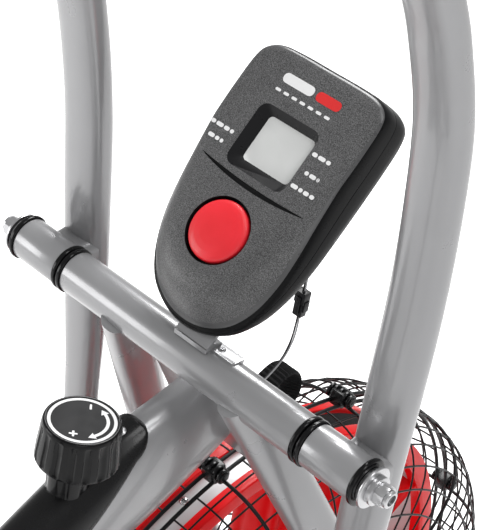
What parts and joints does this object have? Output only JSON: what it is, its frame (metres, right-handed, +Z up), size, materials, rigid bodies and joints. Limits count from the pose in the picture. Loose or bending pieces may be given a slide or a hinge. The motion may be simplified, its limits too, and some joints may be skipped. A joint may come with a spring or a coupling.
{
  "type": "air bike",
  "caption": "Upright air bike: fan wheel in a wire cage, pedals with straps, swinging handle arms on a cross tube, round-nosed console, tension knob, height-adjusted seat.",
  "frame": {"origin": "on the floor, under the middle of the bike's bounding box", "axes": "+Z up, +Y forwards (the way the rider faces), +X to the rider's right"},
  "size_m": [0.554, 1.1292, 1.3381],
  "materials": {
    "silver": "satin silver-grey paint",
    "silver_arm": "satin silver-grey paint",
    "red": "gloss red paint",
    "black_wire": "black coated wire",
    "black_plastic": "fine-grained black",
    "gloss_black": "black",
    "console_grey": "speckled charcoal texture",
    "button_red": "translucent red",
    "display": "pale grey display",
    "zinc": "bright plated steel",
    "foam": "foam sleeve",
    "vinyl": "black seat cover",
    "rubber": "moulded black",
    "webbing": "woven black strap"
  },
  "bodies": {
    "frame": {"brake_band": "webbing", "brake_strap_end": "webbing", "cage_clip_1": "black_plastic", "cage_clip_2": "black_plastic", "cage_clip_3": "black_plastic", "console_back": "gloss_black", "console_bracket": "silver", "console_front": "console_grey", "console_lead": "black_plastic", "crank_frame": "silver", "cross_tube": "silver", "display_lens": "display", "drive_case": "black_plastic", "fan_axle": "zinc", "fork_crown": "silver", "front_left_foot": "rubber", "front_right_foot": "rubber", "front_stabilizer": "silver", "lead_connector": "black_plastic", "left_cage": "black_wire", "left_fork_leg": "silver", "left_frame_bushing": "black_plastic", "left_pivot_nut": "zinc", "left_pivot_washer": "zinc", "left_stay": "silver", "main_tube": "silver", "pivot_axle": "zinc", "rear_left_foot": "rubber", "rear_right_foot": "rubber", "rear_stabilizer": "silver", "right_cage": "black_wire", "right_fork_leg": "silver", "right_frame_bushing": "black_plastic", "right_pivot_nut": "zinc", "right_pivot_washer": "zinc", "right_stay": "silver", "seat_tube": "silver", "sensor_lead": "black_plastic", "tension_cover": "black_plastic"},
    "right_arm_body": {"right_arm": "silver_arm", "right_grip": "foam", "right_arm_bushing_inner": "black_plastic", "right_arm_bushing_outer": "black_plastic"},
    "left_arm_body": {"left_arm": "silver_arm", "left_grip": "foam", "left_arm_bushing_inner": "black_plastic", "left_arm_bushing_outer": "black_plastic"},
    "crank_body": {"crank_spindle": "zinc", "left_crank": "zinc", "right_crank": "zinc"},
    "right_pedal_body": {"right_pedal": "rubber"},
    "left_pedal_body": {"left_pedal": "rubber"},
    "right_link_body": {"right_link": "zinc"},
    "left_link_body": {"left_link": "zinc"},
    "fan_body": {"fan_wheel": "red"},
    "knob_body": {"tension_knob": "gloss_black"},
    "button_body": {"mode_button": "button_red"},
    "seat_body": {"seat_post": "zinc", "seat_cushion": "vinyl"},
    "clamp_body": {"seat_clamp_knob": "black_plastic"}
  },
  "joints": [
    {"name": "right_arm_swing", "type": "hinge", "parent": "frame", "child": "right_arm_body", "pos_m": [0.168, 0.0765, 0.82], "axis": [1, 0, 0], "range_deg": [-12, 18]},
    {"name": "left_arm_swing", "type": "hinge", "parent": "frame", "child": "left_arm_body", "pos_m": [-0.168, 0.0765, 0.82], "axis": [1, 0, 0], "range_deg": [-18, 12]},
    {"name": "crank_spin", "type": "hinge", "parent": "frame", "child": "crank_body", "pos_m": [0, -0.2035, 0.33], "axis": [1, 0, 0], "continuous": true},
    {"name": "fan_spin", "type": "hinge", "parent": "frame", "child": "fan_body", "pos_m": [0, 0.2415, 0.345], "axis": [1, 0, 0], "continuous": true},
    {"name": "right_pedal_spin", "type": "hinge", "parent": "crank_body", "child": "right_pedal_body", "pos_m": [0.234, -0.2573, 0.43164], "axis": [1, 0, 0], "continuous": true},
    {"name": "left_pedal_spin", "type": "hinge", "parent": "crank_body", "child": "left_pedal_body", "pos_m": [-0.234, -0.1497, 0.22836], "axis": [1, 0, 0], "continuous": true},
    {"name": "right_link_turn", "type": "hinge", "parent": "crank_body", "child": "right_link_body", "pos_m": [0.148, -0.2573, 0.43164], "axis": [1, 0, 0], "continuous": true},
    {"name": "left_link_turn", "type": "hinge", "parent": "crank_body", "child": "left_link_body", "pos_m": [-0.148, -0.1497, 0.22836], "axis": [1, 0, 0], "continuous": true},
    {"name": "tension_turn", "type": "hinge", "parent": "frame", "child": "knob_body", "pos_m": [0, -0.0315, 0.78], "axis": [0, 0, 1], "range_deg": [-360, 360]},
    {"name": "mode_press", "type": "slide", "parent": "frame", "child": "button_body", "axis": [0, 0.7559, -0.6547], "range_m": [0, 0.002], "stiffness_N_per_m": 600},
    {"name": "seat_height", "type": "slide", "parent": "frame", "child": "seat_body", "axis": [0, -0.2419, 0.9703], "range_m": [0, 0.12]},
    {"name": "seat_clamp_turn", "type": "hinge", "parent": "frame", "child": "clamp_body", "pos_m": [0, -0.37688, 0.70406], "axis": [0, -0.9703, -0.2419], "range_deg": [-180, 360]}
  ],
  "couplings": [
    {"joint": "left_arm_swing", "follows": "right_arm_swing", "ratio": -1},
    {"joint": "fan_spin", "follows": "crank_spin", "ratio": 4},
    {"joint": "right_link_turn", "follows": "crank_spin", "ratio": -1},
    {"joint": "left_link_turn", "follows": "crank_spin", "ratio": -1}
  ]
}
